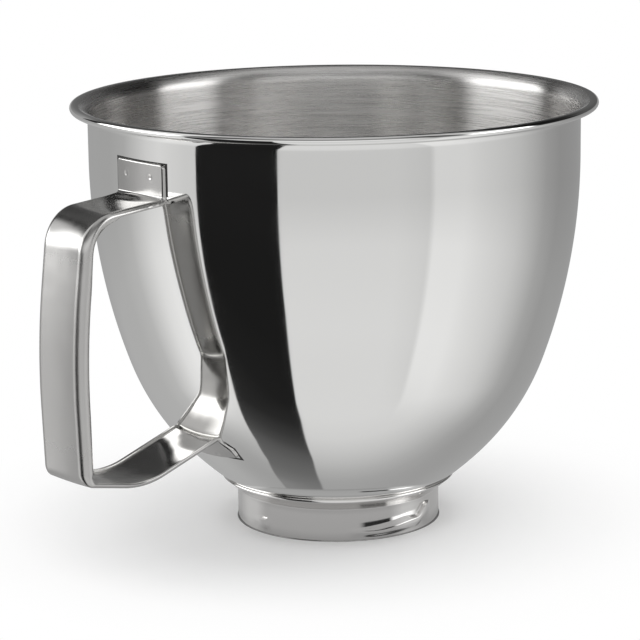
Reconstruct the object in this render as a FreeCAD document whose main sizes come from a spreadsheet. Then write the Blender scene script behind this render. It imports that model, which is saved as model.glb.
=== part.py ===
import FreeCAD, Part
import math
import os

import Sketcher

# Bowl of a stand mixer: a deep-drawn stainless bowl with a rolled rim, a stamped strap
# handle welded on at two tabs, and a foot ring with pressed bayonet ramps welded under it.
# Millimetres and degrees. +Z up, the foot's axis is Z, the foot stands on Z = 0 and the
# handle points along -X.

# Driving sizes: name, value, what it is
SIZES = [
    ("total_height", 181.4, "table to the top of the rolled rim"),
    ("rim_diameter", 222.0, "outside of the rolled rim"),
    ("rim_overhang", 7.43, "rolled rim over the upright wall"),
    ("sheet", 0.8, "sheet the bowl is drawn from"),
    ("bead_diameter", 3.3, "outside of the curled bead"),
    ("flare_radius", 9.0, "outside radius of the flare below the bead"),
    ("upright_wall", 14.76, "height of the straight wall below the flare"),
    ("belly_radius", 106.3, "meridian radius of the lower belly"),
    ("belly_angle", 70.1, "slope where belly and upper wall meet, from horizontal"),
    ("cone_angle", 39.3, "slope of the cone that the foot ring is welded to"),
    ("cone_base_radius", 33.95, "radius where the cone's line meets the floor's level"),
    ("floor_height", 7.4, "underside of the bowl's floor above the table"),
    ("floor_radius", 22.0, "meridian radius between floor and cone"),
    ("dimple_crest_radius", 20.0, "meridian radius at the top of the centre dimple"),
    ("dimple_foot_radius", 11.0, "meridian radius at the dimple's edge"),
    ("dimple_slope", 26.0, "steepest slope of the dimple's side"),
    ("ring_diameter", 86.8, "outside of the foot ring"),
    ("ring_sheet", 0.9, "sheet of the foot ring"),
    ("ring_flange_diameter", 100.0, "edge of the flange under the bowl"),
    ("ring_bend_radius", 1.5, "outside bend between ring and flange"),
    ("ring_edge_radius", 0.3, "rounding of the ring's lower edge"),
    ("pair_count", 2, "times that a ramp and a lug come round the ring"),
    ("ramp_start", -129.0, "direction of a ramp's low tip, seen from above"),
    ("ramp_sweep", 58.0, "angle that a ramp with its stop runs round the ring"),
    ("ramp_low", 4.0, "height of a ramp's crest at its lowest"),
    ("ramp_high", 6.2, "height of a ramp's crest where it turns up into the stop"),
    ("stop_top", 10.8, "height of the crest at the top of the stop"),
    ("ramp_stand_out", 1.9, "how far a crest stands out of the ring"),
    ("ramp_flank", 2.6, "height of the flank above the crest"),
    ("press_start", 0.9, "height where the pressed forms begin above the table"),
    ("lug_start", 169.0, "direction of a lug's thin end"),
    ("lug_sweep", 19.0, "angle that a lug runs round the ring"),
    ("lug_height", 6.1, "height of a lug's crest"),
    ("strap_sheet", 1.3, "sheet that the handle is stamped from"),
    ("strap_width", 29.0, "width of the strap"),
    ("tab_width", 30.4, "width of the upper tab"),
    ("foot_tab_width", 36.6, "width of the lower tab at its end"),
    ("tab_top", 166.6, "top edge of the upper tab"),
    ("arm_height", 152.4, "upper face of the upper arm where it leaves the tab"),
    ("arm_drop", 4.5, "downward slope of the upper arm"),
    ("shoulder_reach", 141.1, "bowl axis to the corner of upper arm and grip"),
    ("shoulder_radius", 17.0, "bend between upper arm and grip"),
    ("grip_reach", 147.9, "bowl axis to the grip's outer face at its middle"),
    ("grip_middle", 95.0, "height of the grip's middle"),
    ("grip_bow_radius", 300.0, "bow of the grip"),
    ("heel_reach", 145.8, "bowl axis to the corner of grip and lower arm"),
    ("heel_height", 42.3, "height of that corner"),
    ("heel_radius", 6.5, "bend between grip and lower arm"),
    ("knee_reach", 115.1, "bowl axis to the bend of the lower arm"),
    ("knee_height", 36.1, "height of that bend"),
    ("knee_radius", 38.5, "bend of the lower arm"),
    ("foot_tab_top", 50.0, "height where the lower tab starts"),
    ("foot_tab_drop", 8.0, "height that the lower tab covers"),
    ("tab_bend_radius", 1.6, "outside bend at both tabs"),
    ("grip_flange", 5.8, "depth of the turned edges at the grip"),
    ("arm_flange", 2.4, "depth of the turned edges at the arms"),
    ("grip_crown", 2.4, "crown of the grip's outer face"),
    ("arm_dish", 0.6, "dish of the upper arm"),
]

doc = FreeCAD.newDocument("mixer_bowl")
sheet = doc.addObject("Spreadsheet::Sheet", "sizes")
for row, (alias, value, note) in enumerate(SIZES, start=1):
    sheet.set(f"A{row}", note)
    sheet.set(f"B{row}", str(value))
    sheet.setAlias(f"B{row}", alias)
doc.recompute()


def size(alias):
    return float(sheet.get(alias))


def sine(degrees):
    return math.sin(math.radians(degrees))


def cosine(degrees):
    return math.cos(math.radians(degrees))


def vector(x, y, z=0.0):
    return FreeCAD.Vector(x, y, z)


# Sketch helpers: a sketch lies in the XZ plane, its x is the radius and its y the height.
# An arc is given by its centre, radius and the two directions of its ends in degrees.

START, END, CENTRE = range(1, 4)
ORIGIN = (-1, 1)
HEIGHT_AXIS = -2


def upright_sketch(body, name):
    sketch = body.newObject("Sketcher::SketchObject", name)
    plane = next(o for o in body.Origin.OriginFeatures if o.Role == "XZ_Plane")
    sketch.AttachmentSupport = [(plane, "")]
    sketch.MapMode = "FlatFace"
    return sketch


def add_arc(sketch, centre, radius, first, last):
    circle = Part.Circle(vector(*centre), vector(0, 0, 1), radius)
    return sketch.addGeometry(Part.ArcOfCircle(circle, math.radians(first), math.radians(last)))


def add_line(sketch, start, end):
    return sketch.addGeometry(Part.LineSegment(vector(*start), vector(*end)))


def join(sketch, kind, *ends):
    sketch.addConstraint(Sketcher.Constraint(kind, *ends))


def drive(sketch, name, kind, geometry, formula, value):
    """A driving dimension that follows a formula of the sheet's cells."""
    index = sketch.addConstraint(Sketcher.Constraint(kind, *geometry, value))
    sketch.renameConstraint(index, name)
    sketch.setExpression(f"Constraints.{name}", formula)


def on_circle(centre, radius, degrees):
    return (centre[0] + radius * cosine(degrees), centre[1] + radius * sine(degrees))


# Bowl: one meridian, used for the outer face and, one sheet further in, for the inner face

class Meridian:
    """Points of the bowl's meridian, lying `inset` inside the outer face."""

    def __init__(self, inset):
        cone, belly = size("cone_angle"), size("belly_angle")
        floor = size("floor_height")
        rim = size("rim_diameter") / 2
        bead = size("bead_diameter") / 2
        body = rim - size("rim_overhang")
        self.wall = body - inset
        self.crest_r = size("dimple_crest_radius") + inset
        self.foot_r = size("dimple_foot_radius") - inset
        self.floor_r = size("floor_radius") - inset
        self.belly_r = size("belly_radius") - inset
        self.flare_r = size("flare_radius") + inset

        slope = size("dimple_slope")
        reach = (size("dimple_crest_radius") + size("dimple_foot_radius")) * sine(slope)
        rise = (size("dimple_crest_radius") + size("dimple_foot_radius")) * (1 - cosine(slope))
        self.crest_c = (0, floor + rise - size("dimple_crest_radius"))
        self.foot_c = (reach, floor + size("dimple_foot_radius"))
        self.floor = floor + inset
        tangent = size("floor_radius") * math.tan(math.radians(cone / 2))
        self.floor_c = (size("cone_base_radius") - tangent, floor + size("floor_radius"))

        self.bead_c = (rim - bead, size("total_height") - bead)
        self.flare_cx = body + size("flare_radius")
        span = size("flare_radius") + size("sheet") - bead
        self.flare_angle = math.degrees(math.acos((self.flare_cx - self.bead_c[0]) / span))
        self.flare_c = (self.flare_cx, self.bead_c[1] - span * sine(self.flare_angle))

        # the upper wall's radius follows from the height that is left for it
        wall_z = self.flare_c[1] - size("upright_wall")
        cone_start = on_circle(self.floor_c, size("floor_radius"), cone - 90)
        steep = math.tan(math.radians(cone))
        belly_r = size("belly_radius")
        fixed = cone_start[1] + steep * (body - belly_r * (sine(belly) - sine(cone)) - cone_start[0])
        fixed += belly_r * (cosine(cone) - cosine(belly))
        wall_r = (wall_z - fixed) / (cosine(belly) - steep * (1 - sine(belly)))
        self.wall_r = wall_r - inset
        self.wall_c = (body - wall_r, wall_z)
        difference = wall_r - belly_r
        self.belly_c = (self.wall_c[0] + difference * sine(belly), wall_z - difference * cosine(belly))


def meridian_profile(sketch, inset, formula):
    """Closed half section from the bowl's axis to a face that lies `inset` inside the outer one."""
    m = Meridian(inset)
    cone, belly, slope = size("cone_angle"), size("belly_angle"), size("dimple_slope")
    crest = add_arc(sketch, m.crest_c, m.crest_r, 90 - slope, 90)
    foot = add_arc(sketch, m.foot_c, m.foot_r, 270 - slope, 270)
    floor = add_line(sketch, (m.foot_c[0], m.floor), (m.floor_c[0], m.floor))
    turn = add_arc(sketch, m.floor_c, m.floor_r, -90, cone - 90)
    cone_ends = [on_circle(m.floor_c, m.floor_r, cone - 90), on_circle(m.belly_c, m.belly_r, cone - 90)]
    side = add_line(sketch, *cone_ends)
    lower = add_arc(sketch, m.belly_c, m.belly_r, cone - 90, belly - 90)
    upper = add_arc(sketch, m.wall_c, m.wall_r, belly - 90, 0)
    wall = add_line(sketch, (m.wall, m.wall_c[1]), (m.wall, m.flare_c[1]))
    flare = add_arc(sketch, m.flare_c, m.flare_r, 180 - m.flare_angle, 180)
    lip = on_circle(m.flare_c, size("flare_radius") + size("sheet"), 180 - m.flare_angle)
    edge = on_circle(m.flare_c, m.flare_r, 180 - m.flare_angle)
    chain_top = edge
    if inset == 0:
        cap = add_line(sketch, edge, lip)
        join(sketch, "Coincident", flare, START, cap, START)
        join(sketch, "PointOnObject", flare, CENTRE, cap)
        drive(sketch, "cap", "Distance", (cap,), "sizes.sheet", size("sheet"))
        last = (cap, END)
        chain_top = lip
    else:
        last = (flare, START)
    crest_top = (0, m.crest_c[1] + m.crest_r)
    lid = add_line(sketch, chain_top, (0, chain_top[1]))
    axis = add_line(sketch, (0, chain_top[1]), crest_top)

    join(sketch, "Tangent", crest, START, foot, START)
    join(sketch, "Tangent", foot, END, floor, START)
    join(sketch, "Tangent", floor, END, turn, START)
    join(sketch, "Tangent", turn, END, side, START)
    join(sketch, "Tangent", side, END, lower, START)
    join(sketch, "Tangent", lower, END, upper, START)
    join(sketch, "Tangent", upper, END, wall, START)
    join(sketch, "Tangent", wall, END, flare, END)
    join(sketch, "Coincident", *last, lid, START)
    join(sketch, "Coincident", lid, END, axis, START)
    join(sketch, "Coincident", axis, END, crest, END)
    join(sketch, "Horizontal", floor)
    join(sketch, "Vertical", wall)
    join(sketch, "Horizontal", lid)
    join(sketch, "PointOnObject", axis, START, HEIGHT_AXIS)
    join(sketch, "PointOnObject", axis, END, HEIGHT_AXIS)
    join(sketch, "PointOnObject", crest, CENTRE, HEIGHT_AXIS)

    drive(sketch, "crest", "Radius", (crest,), f"sizes.dimple_crest_radius + {formula}", m.crest_r)
    drive(sketch, "foot", "Radius", (foot,), f"sizes.dimple_foot_radius - {formula}", m.foot_r)
    drive(sketch, "turn", "Radius", (turn,), f"sizes.floor_radius - {formula}", m.floor_r)
    drive(sketch, "lower", "Radius", (lower,), f"sizes.belly_radius - {formula}", m.belly_r)
    drive(sketch, "upright", "DistanceY", (wall, START, wall, END), "sizes.upright_wall",
          size("upright_wall"))
    drive(sketch, "flare", "Radius", (flare,), f"sizes.flare_radius + {formula}", m.flare_r)
    drive(sketch, "level", "DistanceY", (*ORIGIN, floor, START),
          f"sizes.floor_height + {formula}", m.floor)
    drive(sketch, "wall", "DistanceX", (*ORIGIN, wall, START),
          f"sizes.rim_diameter / 2 - sizes.rim_overhang - {formula}", m.wall)
    drive(sketch, "slope", "Angle", (crest,), "sizes.dimple_slope * 1 deg", math.radians(slope))
    drive(sketch, "cone", "Angle", (turn,), "sizes.cone_angle * 1 deg", math.radians(cone))
    drive(sketch, "belly", "Angle", (lower,), "(sizes.belly_angle - sizes.cone_angle) * 1 deg",
          math.radians(belly - cone))
    tangent = "tan(sizes.cone_angle / 2 * 1 deg)"
    drive(sketch, "turn_centre", "DistanceX", (*ORIGIN, turn, CENTRE),
          f"sizes.cone_base_radius - sizes.floor_radius * {tangent}", m.floor_c[0])
    span = "(sizes.flare_radius + sizes.sheet - sizes.bead_diameter / 2)"
    over = "(sizes.flare_radius - sizes.rim_overhang + sizes.bead_diameter / 2)"
    drive(sketch, "flare_sweep", "Angle", (flare,), f"acos({over} / {span})",
          math.radians(m.flare_angle))
    drive(sketch, "flare_level", "DistanceY", (*ORIGIN, flare, CENTRE),
          f"sizes.total_height - sizes.bead_diameter / 2 - sqrt({span} ^ 2 - {over} ^ 2)",
          m.flare_c[1])


def revolve(body, kind, name, sketch):
    feature = body.newObject(kind, name)
    feature.Profile = sketch
    feature.ReferenceAxis = (sketch, ["V_Axis"])
    feature.Angle = 360
    sketch.Visibility = False
    return feature


def build_bowl():
    body = doc.addObject("PartDesign::Body", "bowl_body")
    body.Label = "bowl"
    outside = upright_sketch(body, "bowl_outside")
    meridian_profile(outside, 0, "0")
    revolve(body, "PartDesign::Revolution", "bowl_blank", outside)
    doc.recompute()
    inside = upright_sketch(body, "bowl_inside")
    meridian_profile(inside, size("sheet"), "sizes.sheet")
    revolve(body, "PartDesign::Groove", "bowl_hollow", inside)
    doc.recompute()
    bead = upright_sketch(body, "bowl_bead")
    m = Meridian(0)
    tube = size("bead_diameter") / 2
    circle = bead.addGeometry(Part.Circle(vector(*m.bead_c), vector(0, 0, 1), tube))
    drive(bead, "tube", "Radius", (circle,), "sizes.bead_diameter / 2", tube)
    drive(bead, "out", "DistanceX", (*ORIGIN, circle, CENTRE),
          "(sizes.rim_diameter - sizes.bead_diameter) / 2", m.bead_c[0])
    drive(bead, "up", "DistanceY", (*ORIGIN, circle, CENTRE),
          "sizes.total_height - sizes.bead_diameter / 2", m.bead_c[1])
    revolve(body, "PartDesign::Revolution", "bowl_rim", bead)
    doc.recompute()
    return body, outside


bowl, outside_sketch = build_bowl()

# Solid of the bowl's outer face, which trims the handle's tabs so that they seat on it
envelope = doc.addObject("Part::Revolution", "envelope")
envelope.Source = outside_sketch
envelope.Axis = vector(0, 0, 1)
envelope.Base = vector(0, 0, 0)
envelope.Angle = 360
envelope.Solid = True
doc.recompute()


# Foot ring: a short tube whose top edge is flanged outward to lie on the bowl's cone

def build_ring():
    body = doc.addObject("PartDesign::Body", "ring_body")
    sketch = upright_sketch(body, "ring_section")
    cone = size("cone_angle")
    outer = size("ring_diameter") / 2
    inner = outer - size("ring_sheet")
    bend = size("ring_bend_radius")
    back = bend + size("ring_sheet")
    seat = (size("cone_base_radius"), size("floor_height"))
    rise = ((outer + bend - seat[0]) * sine(cone) - back) / cosine(cone)
    centre = (outer + bend, seat[1] + rise)
    edge = size("ring_flange_diameter") / 2
    low = on_circle(centre, bend, 90 + cone)
    low_edge = (edge, low[1] + (edge - low[0]) * math.tan(math.radians(cone)))
    high_edge = (edge - size("ring_sheet") * sine(cone), low_edge[1] + size("ring_sheet") * cosine(cone))

    tube = add_line(sketch, (outer, 0), (outer, centre[1]))
    bend_out = add_arc(sketch, centre, bend, 90 + cone, 180)
    under = add_line(sketch, low, low_edge)
    cap = add_line(sketch, low_edge, high_edge)
    over = add_line(sketch, high_edge, on_circle(centre, back, 90 + cone))
    bend_in = add_arc(sketch, centre, back, 90 + cone, 180)
    bore = add_line(sketch, (inner, centre[1]), (inner, 0))
    foot = add_line(sketch, (inner, 0), (outer, 0))
    cone_line = add_line(sketch, seat, (edge, seat[1] + (edge - seat[0]) * math.tan(math.radians(cone))))
    sketch.setConstruction(cone_line, True)

    join(sketch, "Tangent", tube, END, bend_out, END)
    join(sketch, "Tangent", bend_out, START, under, START)
    join(sketch, "Coincident", under, END, cap, START)
    join(sketch, "Perpendicular", under, cap)
    join(sketch, "Coincident", cap, END, over, START)
    join(sketch, "Tangent", over, END, bend_in, START)
    join(sketch, "Tangent", bend_in, END, bore, START)
    join(sketch, "Coincident", bend_in, CENTRE, bend_out, CENTRE)
    join(sketch, "Coincident", bore, END, foot, START)
    join(sketch, "Coincident", foot, END, tube, START)
    join(sketch, "Vertical", tube)
    join(sketch, "Horizontal", foot)
    join(sketch, "Parallel", under, cone_line)
    join(sketch, "Parallel", over, cone_line)
    join(sketch, "PointOnObject", over, START, cone_line)
    drive(sketch, "seat_out", "DistanceX", (*ORIGIN, cone_line, START), "sizes.cone_base_radius", seat[0])
    drive(sketch, "seat_up", "DistanceY", (*ORIGIN, cone_line, START), "sizes.floor_height", seat[1])
    drive(sketch, "seat_slope", "Angle", (cone_line,), "sizes.cone_angle * 1 deg", math.radians(cone))
    drive(sketch, "seat_end", "DistanceX", (*ORIGIN, cone_line, END), "sizes.ring_flange_diameter / 2", edge)
    drive(sketch, "outer", "DistanceX", (*ORIGIN, tube, START), "sizes.ring_diameter / 2", outer)
    drive(sketch, "stand", "DistanceY", (*ORIGIN, tube, START), "0", 0)
    drive(sketch, "bend", "Radius", (bend_out,), "sizes.ring_bend_radius", bend)
    drive(sketch, "back", "Radius", (bend_in,), "sizes.ring_bend_radius + sizes.ring_sheet", back)
    drive(sketch, "edge", "DistanceX", (*ORIGIN, under, END), "sizes.ring_flange_diameter / 2", edge)
    turned = revolve(body, "PartDesign::Revolution", "ring_turned", sketch)
    doc.recompute()

    edge_name = next(
        f"Edge{number}"
        for number, e in enumerate(turned.Shape.Edges, start=1)
        if isinstance(e.Curve, Part.Circle)
        and abs(e.Curve.Center.z) < 1e-6
        and abs(e.Curve.Radius - outer) < 1e-6
    )
    rounding = body.newObject("PartDesign::Fillet", "ring_edge")
    rounding.Base = (turned, [edge_name])
    rounding.setExpression("Radius", "sizes.ring_edge_radius")
    doc.recompute()
    return body


# Bayonet ramps and lugs, pressed out of the ring. A ramp's crest turns up into a stop.

def polar(radius, direction, height):
    return vector(radius * cosine(direction), radius * sine(direction), height)


def blend(place, table):
    """Smooth value at a place from a table of (place, value)."""
    for (first, low), (last, high) in zip(table, table[1:]):
        if place <= last:
            share = max(0, (place - first) / (last - first))
            return low + (high - low) * share * share * (3 - 2 * share)
    return table[-1][1]


PRESS_ROOT = 0.25


def pressed_section(direction, crest, flank, swell):
    """Cross section of a pressed form, which stands out of the ring by a share of its full depth."""
    out = (size("ramp_stand_out") + PRESS_ROOT) * swell - PRESS_ROOT
    skirt = crest - size("press_start")
    outline = [
        (flank, -PRESS_ROOT),
        (0.72 * flank, 0.22 * out),
        (0.30 * flank, 0.72 * out),
        (0, out),
        (-0.30 * skirt, 0.80 * out),
        (-0.70 * skirt, 0.25 * out),
        (-skirt, -PRESS_ROOT),
    ]
    radius = size("ring_diameter") / 2
    face = Part.BSplineCurve()
    face.interpolate([polar(radius + offset, direction, crest + up) for up, offset in outline])
    root = radius - 2 * PRESS_ROOT
    top, bottom = polar(root, direction, crest + flank), polar(root, direction, crest - skirt)
    edges = [
        Part.makeLine(top, face.StartPoint),
        face.toShape(),
        Part.makeLine(face.EndPoint, bottom),
        Part.makeLine(bottom, top),
    ]
    return Part.Wire(edges)


def ramp_shape(number):
    first = size("ramp_start") + number * 360 / size("pair_count")
    low, high, top = size("ramp_low"), size("ramp_high"), size("stop_top")
    sections = []
    for share in (0, 0.08, 0.18, 0.32, 0.48, 0.64, 0.76, 0.84, 0.9, 0.95, 1):
        crest = blend(share, [(0, low + 0.8), (0.34, low), (0.78, high), (0.96, top)])
        flank = size("ramp_flank") * blend(share, [(0, 0.2), (0.42, 1), (0.6, 0.9), (0.8, 0.5), (1, 0.3)])
        swell = blend(share, [(0, 0), (0.34, 1), (0.9, 1), (1, 0)])
        sections.append(pressed_section(first + size("ramp_sweep") * share, crest, flank, swell))
    return Part.makeLoft(sections, True, True)


def lug_shape(number):
    first = size("lug_start") + number * 360 / size("pair_count")
    sections = []
    for share in (0, 0.3, 0.6, 0.88, 1):
        flank = size("ramp_flank") * blend(share, [(0, 0.15), (0.88, 0.7), (1, 0.4)])
        swell = blend(share, [(0, 0), (0.88, 1), (1, 0)])
        sections.append(pressed_section(first + size("lug_sweep") * share, size("lug_height"), flank, swell))
    return Part.makeLoft(sections, True, True)


def build_base_ring():
    pieces = [build_ring()]
    for number in range(int(size("pair_count"))):
        for name, shape in (("ramp", ramp_shape(number)), ("lug", lug_shape(number))):
            feature = doc.addObject("Part::Feature", f"{name}_{number}")
            feature.Shape = shape
            pieces.append(feature)
    ring = doc.addObject("Part::MultiFuse", "ring_with_ramps")
    ring.Shapes = pieces
    ring.Label = "base_ring"
    doc.recompute()
    return ring


base_ring = build_base_ring()


# Handle: a strap bent along a path in its middle plane, with edges turned toward the hand.
# A path point is (reach, height): distance from the bowl's axis along the handle, and height.

def beside_bowl(height, gap):
    """Point at a gap outside the bowl's belly, square to its face at a height."""
    m = Meridian(0)
    slope = math.asin((height - m.belly_c[1]) / m.belly_r)
    reach = m.belly_r + gap
    return (m.belly_c[0] + reach * math.cos(slope), m.belly_c[1] + reach * math.sin(slope))


def upper_crown():
    """Rise of the upper tab's middle over its edges, following the wall."""
    return (size("tab_width") / 2) ** 2 / (2 * Meridian(0).wall)


def lower_crown(height, width):
    """Rise of the lower tab's middle over its edges, following the belly at a height."""
    m = Meridian(0)
    slope = math.asin((height - m.belly_c[1]) / m.belly_r)
    reach, _ = beside_bowl(height, 0)
    return (width / 2) ** 2 * math.cos(slope) / (2 * reach)


def strap_corners():
    """Corners of the path along the strap's outer face, each with its bend radius."""
    sheet_out = size("strap_sheet")
    wall = Meridian(0).wall + sheet_out - upper_crown()
    drop = math.tan(math.radians(size("arm_drop"))) * (size("shoulder_reach") - wall)
    tab_end = size("foot_tab_top") - size("foot_tab_drop")
    return [
        ((wall, size("tab_top")), 0),
        ((wall, size("arm_height")), size("tab_bend_radius")),
        ((size("shoulder_reach"), size("arm_height") - drop), size("shoulder_radius")),
        ((size("grip_reach"), size("grip_middle")), size("grip_bow_radius")),
        ((size("heel_reach"), size("heel_height")), size("heel_radius")),
        ((size("knee_reach"), size("knee_height")), size("knee_radius")),
        (beside_bowl(size("foot_tab_top"), sheet_out - lower_crown(size("foot_tab_top"), size("strap_width"))),
         size("tab_bend_radius")),
        (beside_bowl(tab_end, sheet_out - lower_crown(tab_end, size("foot_tab_width"))), 0),
    ]


def strap_stations():
    """Stations (corner number, share of the bend, point, direction) along the rounded path."""
    corners = strap_corners()
    stations = []
    here = corners[0][0]
    for number in range(1, len(corners)):
        point, radius = corners[number]
        heading = math.atan2(point[1] - here[1], point[0] - here[0])
        if number + 1 < len(corners):
            after = corners[number + 1][0]
            turn = math.atan2(after[1] - point[1], after[0] - point[0]) - heading
            turn = (turn + math.pi) % (2 * math.pi) - math.pi
        else:
            turn = 0
        cut = radius * abs(math.tan(turn / 2))
        straight = math.hypot(point[0] - here[0], point[1] - here[1]) - cut
        steps = max(2, round(straight / STATION_GAP))
        for step in range(steps):
            way = straight * step / steps
            spot = (here[0] + way * math.cos(heading), here[1] + way * math.sin(heading))
            stations.append((number - 1 + 0.8 * step / steps, spot, heading))
        begin = (here[0] + straight * math.cos(heading), here[1] + straight * math.sin(heading))
        if turn == 0:
            stations.append((number, begin, heading))
            break
        side = math.copysign(1, turn)
        centre = (begin[0] - side * radius * math.sin(heading), begin[1] + side * radius * math.cos(heading))
        steps = max(2, math.ceil(abs(turn) / STATION_TURN), round(radius * abs(turn) / STATION_GAP))
        for step in range(steps):
            angle = heading + turn * step / steps
            spot = (centre[0] + side * radius * math.sin(angle), centre[1] - side * radius * math.cos(angle))
            stations.append((number + 0.2 * (step / steps - 1), spot, angle))
        here = (
            centre[0] + side * radius * math.sin(heading + turn),
            centre[1] - side * radius * math.cos(heading + turn),
        )
    return stations


STATION_GAP = 8.0
STATION_TURN = math.radians(10)


def strap_section(place, spot, heading):
    """Closed outline of the strap's sheet at a station: crowned face and two turned edges."""
    half, foot = size("strap_width") / 2, size("foot_tab_width") / 2
    grip, arm, extra = size("grip_flange"), size("arm_flange"), 0.45
    thick = size("strap_sheet")
    half = blend(place, [(0, size("tab_width") / 2), (1, size("tab_width") / 2), (1.2, half),
                         (6, half), (7, foot)])
    depth = blend(place, [(0, 2.2), (1, 2.2), (1.2, arm), (1.65, arm), (2, grip - 0.5), (2.8, grip),
                          (3.8, grip - 0.5), (4, arm - 0.2), (5.8, arm - 0.2), (7, 2.2)])
    corner = blend(place, [(0, 1.95), (1, 1.95), (1.2, arm - 0.5), (1.8, arm - 0.4),
                           (2, grip - 1.2), (2.8, grip - 0.8), (3.8, grip - 1.2), (4, arm - 0.5),
                           (5.8, arm - 0.5), (7, 1.95)])
    tab_end = size("foot_tab_top") - size("foot_tab_drop")
    rise = blend(place, [(0, upper_crown()), (1.0, upper_crown()), (1.2, -size("arm_dish")),
                         (1.8, -size("arm_dish") / 2), (2, size("grip_crown")),
                         (3.8, size("grip_crown")), (4, 0.3), (4.8, 0), (5.4, 0),
                         (6, lower_crown(size("foot_tab_top"), size("strap_width"))),
                         (7, lower_crown(tab_end, size("foot_tab_width")))])
    sheet_here = blend(place, [(0, thick + extra), (0.8, thick + extra), (1, thick), (5.8, thick),
                               (6.2, thick + extra), (7, thick + extra)])
    rise = rise if abs(rise) > 0.01 else 0.01
    flat = half - corner
    inner = corner - sheet_here
    rim = half - sheet_here

    def world(across, out):
        reach = spot[0] - math.sin(heading) * out
        height = spot[1] + math.cos(heading) * out
        return vector(-reach, -across, height)

    def side(sign, start, end, radius):
        middle = (flat + radius * sine(45), -corner + radius * cosine(45))
        return Part.Arc(world(sign * start[0], start[1]), world(sign * middle[0], middle[1]),
                        world(sign * end[0], end[1])).toShape()

    edges = [
        Part.makeLine(world(-half, -depth), world(-half, -corner)),
        side(-1, (half, -corner), (flat, 0), corner),
        Part.Arc(world(-flat, 0), world(0, rise), world(flat, 0)).toShape(),
        side(1, (flat, 0), (half, -corner), corner),
        Part.makeLine(world(half, -corner), world(half, -depth)),
        Part.makeLine(world(half, -depth), world(rim, -depth)),
        Part.makeLine(world(rim, -depth), world(rim, -corner)),
        side(1, (rim, -corner), (flat, -sheet_here), inner),
        Part.Arc(world(flat, -sheet_here), world(0, rise - sheet_here),
                 world(-flat, -sheet_here)).toShape(),
        side(-1, (flat, -sheet_here), (rim, -corner), inner),
        Part.makeLine(world(-rim, -corner), world(-rim, -depth)),
        Part.makeLine(world(-rim, -depth), world(-half, -depth)),
    ]
    return Part.Wire(edges)


def build_handle():
    sections = []
    for number, station in enumerate(strap_stations()):
        section = doc.addObject("Part::Feature", f"strap_section_{number}")
        section.Shape = strap_section(*station)
        sections.append(section)
    strap = doc.addObject("Part::Loft", "strap")
    strap.Sections = sections
    strap.Solid = True
    strap.Ruled = True
    trimmed = doc.addObject("Part::Cut", "strap_on_bowl")
    trimmed.Base = strap
    trimmed.Tool = envelope
    trimmed.Refine = False
    trimmed.Label = "handle"
    doc.recompute()
    return trimmed


handle = build_handle()


# Checks and files

for item in doc.Objects:
    faults = [state for state in item.State if state in ("Invalid", "Error")]
    if faults:
        raise RuntimeError(f"{item.Name}: {faults}")

os.makedirs("parts", exist_ok=True)
for node in (bowl, base_ring, handle):
    if node.Shape.isNull() or not node.Shape.isValid():
        raise RuntimeError(f"{node.Label} has no valid shape")
    node.Shape.exportStep(f"parts/{node.Label}.step")
    print(node.Label, round(node.Shape.Volume), len(node.Shape.Solids), "solid")
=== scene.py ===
import math

import bpy
from mathutils import Matrix, Vector


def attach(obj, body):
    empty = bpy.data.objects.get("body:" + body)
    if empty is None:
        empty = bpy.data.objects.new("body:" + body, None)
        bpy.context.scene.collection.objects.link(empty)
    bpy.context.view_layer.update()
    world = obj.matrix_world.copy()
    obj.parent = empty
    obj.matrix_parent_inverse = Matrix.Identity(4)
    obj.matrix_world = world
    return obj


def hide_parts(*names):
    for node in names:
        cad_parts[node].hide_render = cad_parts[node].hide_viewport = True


# Polished bowl of a stand mixer in a white studio. Sizes are in millimetres and become
# metres in the meshes. +Z up, the bowl's axis is Z, the handle points along -X.

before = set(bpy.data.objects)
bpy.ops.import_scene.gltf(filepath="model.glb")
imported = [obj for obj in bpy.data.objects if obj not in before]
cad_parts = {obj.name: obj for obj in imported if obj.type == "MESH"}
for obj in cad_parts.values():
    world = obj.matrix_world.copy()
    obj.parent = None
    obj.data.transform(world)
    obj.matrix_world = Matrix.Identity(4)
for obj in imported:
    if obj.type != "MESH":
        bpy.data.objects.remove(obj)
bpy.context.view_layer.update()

MM = 0.001
CAMERA_TURN = 41.1      # the camera looks this much to the right of +Y, seen from above


def sine(degrees):
    return math.sin(math.radians(degrees))


def cosine(degrees):
    return math.cos(math.radians(degrees))


def on_circle(centre, radius, degrees):
    return (centre[0] + radius * cosine(degrees), centre[1] + radius * sine(degrees))


def arc(centre, radius, first, last, steps):
    """Points (radius, height) along an arc, without its last one."""
    return [on_circle(centre, radius, first + (last - first) * i / steps) for i in range(steps)]


def line(start, end, steps):
    """Points along a line, without its last one."""
    return [
        (start[0] + (end[0] - start[0]) * i / steps, start[1] + (end[1] - start[1]) * i / steps)
        for i in range(steps)
    ]


def smooth(share):
    share = min(1, max(0, share))
    return share * share * (3 - 2 * share)


def blend(place, table):
    """Smooth value at a place from a table of (place, value)."""
    for (first, low), (last, high) in zip(table, table[1:]):
        if place <= last:
            return low + (high - low) * smooth((place - first) / (last - first))
    return table[-1][1]


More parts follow.
